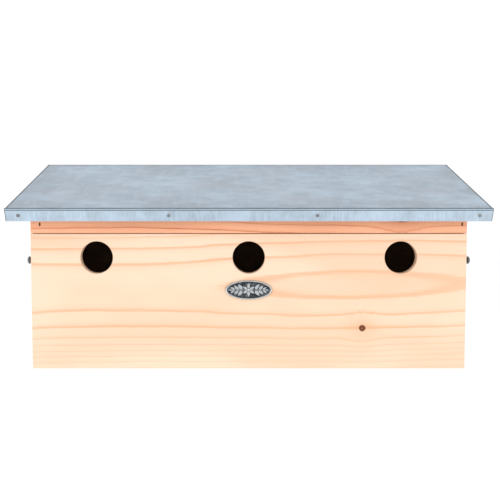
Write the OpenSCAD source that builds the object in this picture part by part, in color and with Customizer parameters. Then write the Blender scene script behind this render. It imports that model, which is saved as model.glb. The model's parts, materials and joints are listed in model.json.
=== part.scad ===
// Three-chamber sparrow nest box: pine boards, zinc-clad pent roof, fold-down front.
// +X is the box's right seen from the front, +Y points to the wall, +Z is up.

/* [Body] */
// Outer width of the wooden body
body_w = 457; // [440:1:550]
// Depth from the rail's face to the back face
body_d = 188; // [160:1:230]
// Thickness of the pine boards
board_t = 12; // [10:0.5:15]
// Height of the fold-down front panel's top edge
panel_top_z = 143.4; // [135:0.2:175]
// Gap between the front panel and the top rail
seam_gap = 0.6; // [0.4:0.1:1.5]
// Running gap between the front panel and the boards behind it
fit_gap = 0.4; // [0.3:0.1:0.8]
// Clearance under the front panel's bottom edge
foot_gap = 0.8; // [0.5:0.1:2]

/* [Entrances] */
// Diameter of each entrance hole
hole_d = 34; // [28:1:40]
// Distance between neighbouring entrance holes
hole_pitch = 159.5; // [150:0.5:170]
// From the front panel's top edge down to the entrance holes' centres
hole_drop = 24.8; // [22:0.2:50]

/* [Roof] */
// How far the roof stands out past each side wall
roof_side_overhang = 21.5; // [10:0.5:60]
// How far the roof stands out in front of the rail
roof_overhang = 22; // [15:1:45]
// Rise from the front panel's top edge to the roof's front top edge
roof_rise = 27; // [24:0.2:50]
// Slope of the roof
roof_slope = 13.5; // [8:0.5:18]
// Thickness of the zinc sheet
sheet_t = 0.6; // [0.5:0.1:1]
// How far the sheet's folded edges hang below the roof board
lip_below = 0.9; // [0:0.1:5]
// How far each end of a folded edge is cut back at its foot
lip_cut = 1.1; // [0.5:0.1:3]

/* [Front panel hardware] */
// Radius of the walls' rounded lower front corner, which the panel rolls round
roll_r = 7.6; // [6:0.2:9]
// Diameter of the pivot nails
pivot_d = 3; // [2.5:0.1:4]
// Width of the battens on the panel's back
batten_w = 14; // [12:1:20]
// From the front panel's top edge down to the battens' top ends
batten_drop = 15.4; // [10:0.2:30]
// From the front panel's top edge down to the catch screws
catch_drop = 28; // [20:0.5:50]
// Distance from catch screw to hook pivot
hook_reach = 40; // [30:1:60]
// Thickness of the hooks
hook_t = 1.2; // [1:0.1:1.5]
// Diameter of the catch and hook screws' shanks
screw_d = 4; // [3:0.1:4.5]
// Diameter of the catch and hook screws' pan heads
screw_head_d = 8; // [7:0.1:10]

/* [Badge] */
// Length of the oval metal badge
badge_w = 48.6; // [30:0.1:60]
// Height of the oval metal badge
badge_h = 20.4; // [14:0.1:24]
// From the entrance holes' centres down to the badge's centre
badge_drop = 34.2; // [30:0.2:60]

/* [Hanging] */
// Distance between the two hanger plates
hanger_pitch = 300; // [240:10:340]
// From the back panel's top edge down to the keyholes' round holes
hanger_drop = 36; // [32:1:80]
// Diameter of the keyholes' round holes
keyhole_d = 8.5; // [7:0.1:10]
// Width of the keyholes' slots
keyslot_w = 4.5; // [4:0.1:5]

/* [Hidden] */
$fn = 64;
eps = 0.01;
LEFT = -1;
RIGHT = 1;

pine = "burlywood";
zinc = "lightsteelblue";
steel = "slategray";

// Everything is drawn with y = 0 at the rail's face, then centred in depth.
centre_y = (roof_overhang - body_d) / 2;
inner_x = body_w / 2 - board_t;
chamber_w = (2 * inner_x - 2 * board_t) / 3;
partition_x = (chamber_w + board_t) / 2;
back_y = body_d - board_t;
rail_z = panel_top_z + seam_gap;
hole_z = panel_top_z - hole_drop;
badge_z = hole_z - badge_drop;
catch_z = panel_top_z - catch_drop;
batten_top_z = panel_top_z - batten_drop;

// The front panel stands a running gap proud of the rail.
panel_y = -fit_gap;
panel_back_y = board_t - fit_gap;
pivot_y = board_t + roll_r;
pivot_z = roll_r;
batten_r = pivot_z - foot_gap;
batten_back_y = pivot_y + batten_r;
batten_side_gap = 0.6;
batten_x = inner_x - batten_side_gap - batten_w;
notch_gap = 1;
pivot_clearance = 0.08;
pivot_len = board_t + batten_side_gap + batten_w - 2;

// The roof lies on the board tops; its lower rear corner stays inside the back face.
roof_w = body_w + 2 * roof_side_overhang;
roof_front_z = panel_top_z + roof_rise;
roof_build_t = sheet_t + board_t;
lip_h = roof_build_t + lip_below;
back_top_z = roof_front_z + (body_d + roof_overhang) * tan(roof_slope) - roof_build_t / cos(roof_slope);
hanger_z = back_top_z - hanger_drop;
roof_rear_gap = 0.3;
roof_len = (body_d + roof_overhang - roof_rear_gap - lip_h * sin(roof_slope)) / cos(roof_slope);
fold_gap = 0.2;
board_edge = sheet_t + fold_gap;
tall = 2 * back_top_z;

// n values evenly spaced from a to b
function spread(a, b, n) = [for (i = [0:n - 1]) a + (b - a) * i / (n - 1)];

// Nails, brads and screws
nail_d = 1.8;
nail_head_d = 4.2;
nail_head_t = 0.8;
nail_len = 30;
tack_d = 1.6;
tack_head_d = 3.4;
tack_head_t = 0.6;
tack_len = 11;
// Places of the tacks along the front lip, from its middle
tack_inset = 14;
lip_tack_x = [tack_inset - roof_w / 2, -82, 70, roof_w / 2 - tack_inset];
lip_tack_z = -lip_h / 2 - 0.6;
side_tack_y = spread(2 * tack_inset, roof_len - 2 * tack_inset, 3);
rear_tack_x = spread(-roof_w * 0.36, roof_w * 0.36, 3);
brad_w = 1.4;
brad_h = 3.6;
brad_len = 28;
brad_sink = 0.8;
brad_z = rail_z + 9.2;
// Distance of each rail brad from its own end of the rail
brad_inset_left = 9.8;
brad_inset_right = 5.2;

// Screws that hold the battens to the front panel
batten_screw_z = spread(batten_top_z * 0.28, batten_top_z * 0.78, 2);
batten_screw_d = 3;
batten_screw_len = 20;
batten_screw_head_d = 5.8;
batten_screw_head_t = 1.8;

// Hooks and their screws
hook_gap = 0.5;
hook_head_gap = hook_gap + hook_t + hook_gap;
hook_end_r = 5.4;
hook_bar_w = 6.4;
hook_mouth = screw_d + 1.4;
hook_pin_clearance = 0.08;
catch_y = (panel_y + panel_back_y) / 2;
hook_y = catch_y + hook_reach;
screw_head_t = 2.2;
screw_len = 18;
hook_screw_len = hook_head_gap + board_t - 0.2;
cross_w = screw_head_d / 8;
cross_l = screw_head_d * 0.55;
cross_deep = 1.2;

// Badge
badge_t = 1;
badge_rim_w = 1.3;
badge_rim_t = 0.5;
badge_pin_x = badge_w / 2 - 2.9;
badge_pin_d = 1;
badge_pin_len = 7;
badge_pin_head_d = 2;
badge_pin_head_t = 0.6;

// Hanger plates
plate_w = 16;
plate_h = 42;
plate_t = 1.5;
plate_low = 14;
plate_screw_z = [-9.4, 21];
keyhole_rise = 9;
pocket_d = 12;
pocket_deep = 6;
hanger_screw_d = 2.4;
hanger_screw_head_d = 4.6;
hanger_screw_head_t = 1.2;
hanger_screw_len = 9;

// Floor drain holes
drain_d = 6;
drain_y = spread(body_d * 0.3, body_d * 0.7, 2);

// Rows of nails along the boards' edges
end_inset = 28;
wall_nail_z = spread(end_inset, back_top_z - 44, 3);
partition_nail_z = spread(48, back_top_z - 58, 2);
side_nail_y = spread(50, back_y - 26, 3);
floor_nail_y = spread(40, back_y - 56, 2);
roof_wall_nail_y = spread(60, roof_len - 52, 3);
roof_partition_nail_y = spread(75, roof_len - 62, 2);

// ---------- helpers ----------

// A 2D outline in Y and Z, extruded along +X from x0
module yz(x0, thick) {
  translate([x0, 0, 0])
    rotate([90, 0, 90])
      linear_extrude(thick)
        children();
}

// Places its children at the roof's front top edge, with +Y up the slope
module on_roof() {
  translate([0, -roof_overhang, roof_front_z])
    rotate([roof_slope, 0, 0])
      children();
}

// Everything above the roof board's underside
module above_walls() {
  on_roof()
    translate([-roof_w, -tall, -roof_build_t])
      cube([2 * roof_w, 3 * tall, 3 * tall]);
}

// A nail along -Z: its head's top at z = 0
module nail(len, d, head_d, head_t) {
  point = 2 * d;
  translate([0, 0, -head_t])
    cylinder(h = head_t, d = head_d);
  translate([0, 0, point - len])
    cylinder(h = len - point - head_t, d = d);
  translate([0, 0, -len])
    cylinder(h = point, d1 = 0.4, d2 = d);
}

// The hole that a countersunk wood screw fills, along -Z from its head's top
module flat_screw_hole(len, d, head_d, head_t) {
  point = 2 * d;
  translate([0, 0, -head_t])
    cylinder(h = head_t, d1 = d, d2 = head_d);
  translate([0, 0, point - len])
    cylinder(h = len - point - head_t, d = d);
  translate([0, 0, -len])
    cylinder(h = point, d1 = 0.4, d2 = d);
}

// A countersunk wood screw along -Z: its head's top at z = 0, with a cross recess
module flat_screw(len, d, head_d, head_t) {
  difference() {
    flat_screw_hole(len, d, head_d, head_t);
    for (a = [0, 90])
      rotate([0, 0, a])
        cube([head_d * 0.55, head_d * 0.14, head_t], center = true);
  }
}

// A pan-head screw along -Z: its head's underside at z = 0, with a cross recess
module pan_screw(len) {
  edge = 0.9;
  difference() {
    union() {
      cylinder(h = edge, d = screw_head_d);
      translate([0, 0, edge])
        cylinder(h = screw_head_t - edge, d1 = screw_head_d, d2 = screw_head_d * 0.62);
      translate([0, 0, screw_d * 2 - len])
        cylinder(h = len - screw_d * 2, d = screw_d);
      translate([0, 0, -len])
        cylinder(h = screw_d * 2, d1 = 0.6, d2 = screw_d);
    }
    for (a = [0, 90])
      rotate([0, 0, a])
        translate([-cross_l / 2, -cross_w / 2, screw_head_t - cross_deep])
          cube([cross_l, cross_w, cross_deep + 1]);
  }
}

// Turns +Z to point out of one side of the box
module facing_side(side) {
  rotate([0, side * 90, 0])
    children();
}

// Turns +Z to point out of the back
module facing_back() {
  rotate([-90, 0, 0])
    children();
}

// ---------- fasteners, drawn by their own nodes and cut from the boards ----------

module one_nail() {
  nail(nail_len, nail_d, nail_head_d, nail_head_t);
}

module back_nail_set() {
  for (side = [LEFT, RIGHT], z = wall_nail_z)
    translate([side * (inner_x + board_t / 2), body_d, z])
      facing_back() one_nail();
  for (side = [LEFT, RIGHT], z = partition_nail_z)
    translate([side * partition_x, body_d, z])
      facing_back() one_nail();
  for (i = [-1:1])
    translate([i * (chamber_w + board_t), body_d, board_t / 2])
      facing_back() one_nail();
}

module side_nail_set() {
  for (side = [LEFT, RIGHT], y = side_nail_y)
    translate([side * body_w / 2, y, board_t / 2])
      facing_side(side) one_nail();
}

module floor_nail_set() {
  for (side = [LEFT, RIGHT], y = floor_nail_y)
    translate([side * partition_x, y, 0])
      rotate([180, 0, 0]) one_nail();
}

module roof_board_nail_set() {
  on_roof() {
    for (side = [LEFT, RIGHT], y = roof_wall_nail_y)
      translate([side * (inner_x + board_t / 2), y, -sheet_t]) one_nail();
    for (side = [LEFT, RIGHT], y = roof_partition_nail_y)
      translate([side * partition_x, y, -sheet_t]) one_nail();
  }
}

module one_tack() {
  nail(tack_len, tack_d, tack_head_d, tack_head_t);
}

// Tacks through the sheet's folded edges into the roof board's edges
module sheet_tack_set() {
  on_roof() {
    for (x = lip_tack_x)
      translate([x, -tack_head_t, lip_tack_z])
        rotate([90, 0, 0]) one_tack();
    for (side = [LEFT, RIGHT], y = side_tack_y)
      translate([side * (roof_w / 2 + tack_head_t), y, lip_tack_z])
        facing_side(side) one_tack();
    for (x = rear_tack_x)
      translate([x, roof_len + tack_head_t, lip_tack_z])
        facing_back() one_tack();
  }
}

module one_brad(x) {
  translate([x - brad_w / 2, brad_sink, brad_z - brad_h / 2])
    cube([brad_w, brad_len, brad_h]);
}

module brad_set() {
  one_brad(-body_w / 2 + brad_inset_left);
  one_brad(body_w / 2 - brad_inset_right);
}

// The punched mouths in front of the sunk brads
module brad_mouths() {
  translate([0, -brad_len + eps, 0])
    brad_set();
}

module batten_screw_places() {
  for (side = [LEFT, RIGHT], z = batten_screw_z)
    translate([side * (batten_x + batten_w / 2), batten_back_y, z])
      facing_back()
        children();
}

module batten_screw_holes() {
  batten_screw_places()
    flat_screw_hole(batten_screw_len, batten_screw_d, batten_screw_head_d, batten_screw_head_t);
}

module badge_pin_set() {
  for (side = [LEFT, RIGHT])
    translate([side * badge_pin_x, panel_y - badge_t - badge_pin_head_t, badge_z])
      rotate([90, 0, 0])
        nail(badge_pin_len, badge_pin_d, badge_pin_head_d, badge_pin_head_t);
}

module catch_screw(side) {
  translate([side * (body_w / 2 + hook_head_gap), catch_y, catch_z])
    facing_side(side) pan_screw(screw_len);
}

module hook_screw(side) {
  translate([side * (body_w / 2 + hook_head_gap), hook_y, catch_z])
    facing_side(side) pan_screw(hook_screw_len);
}

module pivot_nail(side) {
  head_t = 1.2;
  translate([side * (body_w / 2 + head_t), pivot_y, pivot_z])
    facing_side(side)
      nail(pivot_len + head_t, pivot_d, pivot_d * 2.1, head_t);
}

module plate_place(side) {
  translate([side * hanger_pitch / 2, body_d, hanger_z])
    children();
}

module hanger_screw_places() {
  for (side = [LEFT, RIGHT], z = plate_screw_z)
    plate_place(side)
      translate([0, 0, z])
        facing_back()
          children();
}

module hanger_screw_holes() {
  hanger_screw_places()
    flat_screw_hole(hanger_screw_len, hanger_screw_d, hanger_screw_head_d, hanger_screw_head_t);
}

// ---------- front panel and its hardware ----------

module front_panel() {
  color(pine)
    difference() {
      translate([-body_w / 2, panel_y, foot_gap])
        cube([body_w, board_t, panel_top_z - foot_gap]);
      for (i = [-1:1])
        translate([i * hole_pitch, -board_t, hole_z])
          facing_back()
            cylinder(h = 3 * board_t, d = hole_d, $fn = 96);
      for (side = [LEFT, RIGHT])
        catch_screw(side);
      batten_screw_holes();
      badge_pin_set();
    }
}

// A batten behind one end of the front panel: the pivot nail runs in its foot
module front_batten(side) {
  x0 = side == RIGHT ? batten_x : -batten_x - batten_w;
  color(pine)
    difference() {
      yz(x0, batten_w)
        union() {
          translate([panel_back_y, foot_gap])
            square([pivot_y - panel_back_y, batten_top_z - foot_gap]);
          translate([panel_back_y, pivot_z])
            square([batten_back_y - panel_back_y, batten_top_z - pivot_z]);
          translate([pivot_y, pivot_z])
            circle(r = batten_r);
        }
      translate([x0 - 1, pivot_y, pivot_z])
        rotate([0, 90, 0])
          cylinder(h = batten_w + 2, d = pivot_d + 2 * pivot_clearance);
      batten_screw_holes();
    }
}

module batten_screws() {
  color(steel)
    batten_screw_places()
      flat_screw(batten_screw_len, batten_screw_d, batten_screw_head_d, batten_screw_head_t);
}

// A pointed leaf: its stalk at the origin, its tip along +X
module leaf(len, wide) {
  r = (len * len / 4 + wide * wide / 4) / wide;
  intersection() {
    translate([len / 2, r - wide / 2])
      circle(r = r);
    translate([len / 2, wide / 2 - r])
      circle(r = r);
  }
}

// An oval outline, w long and h high
module oval(w, h) {
  scale([w / h, 1])
    circle(d = h);
}

// The sprig on the badge: a stem with a leaf at its tip and pairs beside it
module sprig() {
  stem = badge_w * 0.42;
  leaf_len = badge_h * 0.32;
  translate([-stem / 2, -0.25])
    square([stem, 0.5]);
  translate([stem / 2, 0])
    leaf(leaf_len, leaf_len * 0.45);
  for (i = [0:3], side = [LEFT, RIGHT])
    translate([stem * (i / 4 - 0.42), 0])
      rotate([0, 0, side * 48])
        leaf(leaf_len, leaf_len * 0.4);
}

module badge() {
  color(zinc)
    difference() {
      translate([0, panel_y, badge_z])
        rotate([90, 0, 0]) {
          linear_extrude(badge_t)
            oval(badge_w, badge_h);
          translate([0, 0, badge_t - eps])
            linear_extrude(badge_rim_t)
              difference() {
                oval(badge_w, badge_h);
                oval(badge_w - 2 * badge_rim_w, badge_h - 2 * badge_rim_w);
              }
          translate([0, 0, badge_t - eps])
            linear_extrude(badge_rim_t * 0.8)
              sprig();
        }
      badge_pin_set();
    }
}

module badge_pins() {
  color(steel) badge_pin_set();
}

module catch_screw_node(side) {
  color(steel) catch_screw(side);
}

// ---------- fixed boards ----------

module top_rail() {
  color(pine)
    difference() {
      translate([-body_w / 2, 0, rail_z])
        cube([body_w, board_t, tall - rail_z]);
      above_walls();
      brad_set();
      brad_mouths();
    }
}

module rail_brads() {
  color(steel) brad_set();
}

// Outline in Y and Z of what stands behind the front panel, rounded where the panel rolls
module behind_panel(height) {
  translate([pivot_y, 0])
    square([back_y - pivot_y, height]);
  translate([board_t, pivot_z])
    square([back_y - board_t, height - pivot_z]);
  intersection() {
    translate([pivot_y, pivot_z])
      circle(r = roll_r);
    translate([board_t, 0])
      square(roll_r);
  }
}

module side_wall(side) {
  x0 = side == RIGHT ? inner_x : -body_w / 2;
  color(pine)
    difference() {
      yz(x0, board_t)
        behind_panel(tall);
      above_walls();
      back_nail_set();
      side_nail_set();
      roof_board_nail_set();
      brad_set();
      pivot_nail(side);
      hook_screw(side);
    }
}

// The rebate in the back panel's top edge that clears the sheet's rear fold
module rear_fold_rebate() {
  on_roof()
    translate([-roof_w / 2, roof_len - board_edge, -lip_h - fold_gap])
      cube([roof_w, 2 * board_t, lip_h]);
}

// The keyhole plate's outline, its round hole's centre at the origin
module plate_outline() {
  translate([-plate_w / 2, -plate_low])
    square([plate_w, plate_h]);
}

module back_panel() {
  color(pine)
    difference() {
      translate([-body_w / 2, back_y, 0])
        cube([body_w, board_t, tall]);
      above_walls();
      rear_fold_rebate();
      back_nail_set();
      hanger_screw_holes();
      for (side = [LEFT, RIGHT])
        plate_place(side) {
          rotate([90, 0, 0])
            translate([0, 0, -1])
              linear_extrude(plate_t + 1)
                plate_outline();
          for (z = [0, keyhole_rise])
            translate([0, -pocket_deep, z])
              facing_back()
                cylinder(h = pocket_deep + 1, d = pocket_d);
        }
    }
}

module floor_panel() {
  notch_w = inner_x - batten_x + notch_gap;
  color(pine)
    difference() {
      yz(-inner_x, 2 * inner_x)
        behind_panel(board_t);
      for (side = [LEFT, RIGHT])
        translate([side * (inner_x - notch_w / 2), board_t, board_t / 2])
          cube([notch_w + eps, 2 * (batten_back_y + notch_gap - board_t), 2 * board_t], center = true);
      for (i = [-1:1], y = drain_y)
        translate([i * (chamber_w + board_t), y, -1])
          cylinder(h = board_t + 2, d = drain_d);
      back_nail_set();
      side_nail_set();
      floor_nail_set();
    }
}

module partition(side) {
  color(pine)
    difference() {
      translate([side * partition_x - board_t / 2, board_t, board_t])
        cube([board_t, back_y - board_t, tall]);
      above_walls();
      back_nail_set();
      floor_nail_set();
      roof_board_nail_set();
    }
}

module back_nails() {
  color(steel) back_nail_set();
}

module side_nails() {
  color(steel) side_nail_set();
}

module floor_nails() {
  color(steel) floor_nail_set();
}

module pivot_nail_node(side) {
  color(steel) pivot_nail(side);
}

// ---------- side hooks ----------

// A flat hook hanging from its screw, its mouth open to the back
module hook(side) {
  x0 = side == RIGHT ? body_w / 2 + hook_gap : -body_w / 2 - hook_gap - hook_t;
  color(zinc)
    translate([0, hook_y, catch_z])
      difference() {
        yz(x0, hook_t)
          difference() {
            union() {
              circle(r = hook_end_r);
              translate([-hook_end_r, -hook_reach])
                square([hook_bar_w, hook_reach]);
              translate([0, -hook_reach])
                circle(r = hook_end_r);
            }
            translate([0, -hook_reach])
              circle(d = hook_mouth);
            translate([0, -hook_reach - hook_mouth / 2])
              square([hook_end_r + 1, hook_mouth]);
          }
        translate([x0 - 1, 0, 0])
          rotate([0, 90, 0])
            cylinder(h = hook_t + 2, d = screw_d + 2 * hook_pin_clearance);
      }
}

module hook_screw_node(side) {
  color(steel) hook_screw(side);
}

// ---------- roof ----------

module roof_board() {
  color(pine)
    difference() {
      on_roof()
        translate([-roof_w / 2 + board_edge, board_edge, -roof_build_t])
          cube([roof_w - 2 * board_edge, roof_len - 2 * board_edge, board_t]);
      roof_board_nail_set();
      sheet_tack_set();
    }
}

module roof_board_nails() {
  color(steel) roof_board_nail_set();
}

// A folded edge of the sheet, len long: its outer face at y = 0, its top at z = 0
module sheet_edge(len) {
  translate([0, sheet_t, 0])
    rotate([90, 0, 0])
      linear_extrude(sheet_t)
        polygon([
          [-len / 2, 0], [len / 2, 0],
          [len / 2 - lip_cut, -lip_h], [-len / 2 + lip_cut, -lip_h]
        ]);
}

module roof_sheet() {
  color(zinc)
    difference() {
      on_roof() {
        translate([-roof_w / 2, 0, -sheet_t])
          cube([roof_w, roof_len, sheet_t]);
        sheet_edge(roof_w);
        translate([0, roof_len, 0])
          rotate([0, 0, 180]) sheet_edge(roof_w);
        for (side = [LEFT, RIGHT])
          translate([side * roof_w / 2, roof_len / 2, 0])
            rotate([0, 0, side * 90]) sheet_edge(roof_len - 2 * board_edge);
      }
      sheet_tack_set();
    }
}

module roof_sheet_nails() {
  color(steel) sheet_tack_set();
}

// ---------- hangers ----------

module hanger_plate(side) {
  color(zinc)
    difference() {
      plate_place(side) {
        rotate([90, 0, 0])
          linear_extrude(plate_t)
            difference() {
              plate_outline();
              circle(d = keyhole_d);
              translate([0, keyhole_rise])
                circle(d = keyslot_w);
              translate([-keyslot_w / 2, 0])
                square([keyslot_w, keyhole_rise]);
            }
      }
      hanger_screw_holes();
    }
}

module hanger_screws() {
  color(steel)
    hanger_screw_places()
      flat_screw(hanger_screw_len, hanger_screw_d, hanger_screw_head_d, hanger_screw_head_t);
}

// Sets the origin under the middle of the whole box
module placed() {
  translate([0, centre_y, 0])
    children();
}

placed() front_panel();
placed() front_batten(LEFT);  // front_batten_left
placed() front_batten(RIGHT);  // front_batten_right
placed() batten_screws();
placed() catch_screw_node(LEFT);  // catch_screw_left
placed() catch_screw_node(RIGHT);  // catch_screw_right
placed() badge();
placed() badge_pins();
placed() top_rail();
placed() rail_brads();
placed() side_wall(LEFT);  // side_wall_left
placed() side_wall(RIGHT);  // side_wall_right
placed() back_panel();
placed() floor_panel();
placed() partition(LEFT);  // partition_left
placed() partition(RIGHT);  // partition_right
placed() pivot_nail_node(LEFT);  // pivot_nail_left
placed() pivot_nail_node(RIGHT);  // pivot_nail_right
placed() hook(LEFT);  // hook_left
placed() hook(RIGHT);  // hook_right
placed() hook_screw_node(LEFT);  // hook_screw_left
placed() hook_screw_node(RIGHT);  // hook_screw_right
placed() roof_board();
placed() roof_board_nails();
placed() roof_sheet();
placed() roof_sheet_nails();
placed() back_nails();
placed() side_nails();
placed() floor_nails();
placed() hanger_plate(LEFT);  // hanger_plate_left
placed() hanger_plate(RIGHT);  // hanger_plate_right
placed() hanger_screws();
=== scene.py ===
"""Looks of a three-chamber pine nest box with a folded zinc roof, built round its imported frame."""

from __future__ import annotations

import json
import logging
import math
from dataclasses import dataclass
from enum import Enum
from typing import Any, Callable, Union

import bmesh
import bpy
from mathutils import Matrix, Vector

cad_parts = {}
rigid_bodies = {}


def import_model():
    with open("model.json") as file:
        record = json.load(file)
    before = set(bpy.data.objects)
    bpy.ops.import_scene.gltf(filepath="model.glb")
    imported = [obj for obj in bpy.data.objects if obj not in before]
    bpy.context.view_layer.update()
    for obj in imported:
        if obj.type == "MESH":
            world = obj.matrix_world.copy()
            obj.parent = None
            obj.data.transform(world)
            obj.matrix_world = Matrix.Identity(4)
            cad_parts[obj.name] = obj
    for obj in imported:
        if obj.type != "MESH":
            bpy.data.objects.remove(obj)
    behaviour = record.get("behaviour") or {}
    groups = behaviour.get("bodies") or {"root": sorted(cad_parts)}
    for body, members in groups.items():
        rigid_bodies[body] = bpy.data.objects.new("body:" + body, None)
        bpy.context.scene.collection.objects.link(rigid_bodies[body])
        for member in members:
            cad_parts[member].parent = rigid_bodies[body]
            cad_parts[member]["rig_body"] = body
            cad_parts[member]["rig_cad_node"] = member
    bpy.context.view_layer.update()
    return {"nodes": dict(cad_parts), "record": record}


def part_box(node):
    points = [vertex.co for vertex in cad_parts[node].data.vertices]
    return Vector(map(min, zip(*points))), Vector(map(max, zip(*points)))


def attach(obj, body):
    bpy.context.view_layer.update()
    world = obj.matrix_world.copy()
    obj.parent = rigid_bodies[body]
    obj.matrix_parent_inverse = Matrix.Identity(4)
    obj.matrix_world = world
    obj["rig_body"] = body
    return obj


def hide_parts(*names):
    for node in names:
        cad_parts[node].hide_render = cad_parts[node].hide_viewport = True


log = logging.getLogger("nest_box")

Colour = tuple[float, float, float]
Number = Union[float, "Wire"]
Settings = dict[str, Any]
Stops = list[tuple[float, float]]


# ---------------------------------------------------------------- materials


class Wire:
    """The output of a shader node, on which arithmetic adds Math nodes."""

    def __init__(self, recipe: "Recipe", socket: bpy.types.NodeSocket) -> None:
        """Keeps the socket and the recipe that new nodes go into."""
        self.recipe = recipe
        self.socket = socket

    def __add__(self, other: Number) -> "Wire":
        """Adds."""
        return self.recipe.maths("ADD", self, other)

    def __sub__(self, other: Number) -> "Wire":
        """Subtracts."""
        return self.recipe.maths("SUBTRACT", self, other)

    def __rsub__(self, other: Number) -> "Wire":
        """Subtracts from a number."""
        return self.recipe.maths("SUBTRACT", other, self)

    def __mul__(self, other: Number) -> "Wire":
        """Multiplies."""
        return self.recipe.maths("MULTIPLY", self, other)

    def __truediv__(self, other: Number) -> "Wire":
        """Divides."""
        return self.recipe.maths("DIVIDE", self, other)

    def __neg__(self) -> "Wire":
        """Changes the sign."""
        return self * -1.0

    __radd__ = __add__
    __rmul__ = __mul__

    @staticmethod
    def zero(recipe: "Recipe") -> "Wire":
        """Returns a wire that carries nothing, for a board without a knot."""
        return recipe.maths("MULTIPLY", 0.0, 0.0)


class Recipe:
    """A material's node tree while it is being written."""

    def __init__(self, name: str) -> None:
        """Starts an empty material.

        Args:
            name: The material's name.
        """
        self.material = bpy.data.materials.new(name)
        self.material.use_nodes = True
        self.tree = self.material.node_tree
        self.tree.nodes.clear()

    def node(
        self, kind: str, settings: Settings | None = None, inputs: dict[Any, Any] | None = None
    ) -> bpy.types.Node:
        """Adds a node, sets its settings and then fills its sockets.

        Args:
            kind: The node's type, without its ShaderNode prefix.
            settings: Properties of the node; "stops" holds a colour ramp's places and colours.
            inputs: Values or wires by socket name or number.

        Returns:
            The new node.
        """
        node = self.tree.nodes.new("ShaderNode" + kind)
        for key, value in (settings or {}).items():
            if key == "stops":
                self.set_stops(node, value)
            else:
                setattr(node, key, value)
        for key, value in (inputs or {}).items():
            if isinstance(value, Wire):
                self.tree.links.new(value.socket, node.inputs[key])
            else:
                node.inputs[key].default_value = value
        return node

    @staticmethod
    def set_stops(node: bpy.types.Node, stops: Stops) -> None:
        """Gives a colour ramp its grey stops and eases between them.

        Args:
            node: The colour ramp.
            stops: Pairs of place and grey level.
        """
        ramp = node.color_ramp
        ramp.interpolation = "EASE"
        while len(ramp.elements) < len(stops):
            ramp.elements.new(0.5)
        for element, (place, grey) in zip(ramp.elements, stops):
            element.position = place
            element.color = (grey, grey, grey, 1.0)

    def out(self, node: bpy.types.Node, socket: int | str = 0) -> Wire:
        """Returns one output of a node as a wire."""
        return Wire(self, node.outputs[socket])

    def maths(self, operation: str, *values: Number) -> Wire:
        """Returns the result of a Math node on one to three values."""
        inputs = dict(enumerate(values))
        return self.out(self.node("Math", {"operation": operation}, inputs))

    def ramp(self, value: Wire, stops: Stops) -> Wire:
        """Passes a value through a curve of grey stops.

        Args:
            value: What the curve is read at, from 0 to 1.
            stops: Pairs of place and level.

        Returns:
            The level.
        """
        return self.out(self.node("ValToRGB", {"stops": stops}, {"Fac": value}))

    def blend(self, factor: Number, first: Colour | Wire, second: Colour | Wire) -> Wire:
        """Mixes two colours.

        Args:
            factor: 0 for the first colour and 1 for the second.
            first: A colour or a wire.
            second: A colour or a wire.

        Returns:
            The mixed colour.
        """
        first = first if isinstance(first, Wire) else (*first, 1.0)
        second = second if isinstance(second, Wire) else (*second, 1.0)
        node = self.node("Mix", {"data_type": "RGBA"}, {0: factor, 6: first, 7: second})
        return self.out(node, 2)

    def place(self) -> tuple[Wire, Wire, Wire]:
        """Reads where a point lies on the piece.

        Returns:
            Its X, Y and Z, in metres.
        """
        coordinates = self.out(self.node("TexCoord"), "Object")
        split = self.node("SeparateXYZ", inputs={0: coordinates})
        return self.out(split, 0), self.out(split, 1), self.out(split, 2)

    def mark(self, name: str) -> Wire:
        """Returns an attribute of the piece's faces."""
        return self.out(self.node("Attribute", {"attribute_name": name}), "Fac")

    def noise(self, x: Number, y: Number, z: Number, detail: float = 2.0, rough: float = 0.5) -> Wire:
        """Reads soft noise at a point.

        Args:
            x: The point's X, in noise units.
            y: Its Y.
            z: Its Z.
            detail: How many finer octaves are added.
            rough: How strong the finer octaves are.

        Returns:
            The noise, from 0 to 1.
        """
        vector = self.out(self.node("CombineXYZ", inputs={0: x, 1: y, 2: z}))
        sizes = {"Vector": vector, "Scale": 1.0, "Detail": detail, "Roughness": rough}
        return self.out(self.node("TexNoise", inputs=sizes))

    def finish(self, shader: dict[str, Any], height: Wire, relief: float) -> bpy.types.Material:
        """Closes the material with a Principled shader and a bump.

        Args:
            shader: Socket values and wires of the Principled shader.
            height: The surface's height, from 0 to 1.
            relief: How far the height lifts the surface, in metres.

        Returns:
            The finished material.
        """
        bump = self.node("Bump", inputs={"Strength": 1.0, "Distance": relief, "Height": height})
        principled = self.node("BsdfPrincipled", inputs={**shader, "Normal": self.out(bump)})
        output = self.node("OutputMaterial")
        self.tree.links.new(principled.outputs[0], output.inputs[0])
        return self.material


class Grain(Enum):
    """The way the grain runs in a board: along, across and through it."""

    ALONG_X = (0, 2, 1)
    ALONG_Z = (2, 1, 0)
    LYING_X = (0, 1, 2)


@dataclass(frozen=True)
class Knot:
    """A small round knot in a board's face, with its place and radius in metres."""

    along: float
    across: float
    radius: float


@dataclass(frozen=True)
class BradHoleShade:
    """Painted shade of the punched hole round a brad, with its place and size in metres."""

    along: float
    across: float
    width: float = 0.0012
    height: float = 0.0027


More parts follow.
